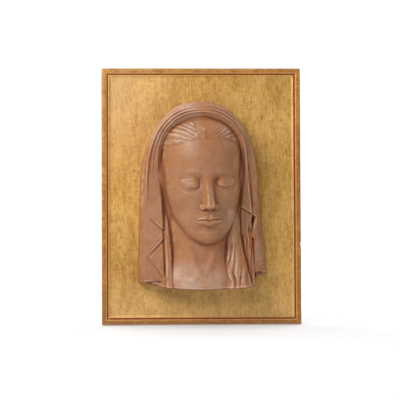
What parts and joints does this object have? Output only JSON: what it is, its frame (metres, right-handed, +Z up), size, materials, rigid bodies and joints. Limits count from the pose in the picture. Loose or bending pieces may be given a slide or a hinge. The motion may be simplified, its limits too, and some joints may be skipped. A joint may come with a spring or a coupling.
{
  "type": "terracotta relief plaque",
  "caption": "Upright gilded wood wall panel with a fired-clay high relief of a veiled head, neck and chest.",
  "frame": {"origin": "centre of the board's flat back, which lies against the wall", "axes": "+Z up along the board's height, +Y into the wall, and the relief faces -Y"},
  "size_m": [0.35, 0.1324, 0.45],
  "materials": {
    "gilded_wood": "rubbed gold leaf over red bole, worn at the edges, bare wood behind",
    "terracotta": "matt fired clay with a faint waxed sheen and pale dust on its high places"
  },
  "bodies": {
    "root": {"gilded_panel": "gilded_wood", "terracotta_relief": "terracotta"}
  },
  "joints": []
}
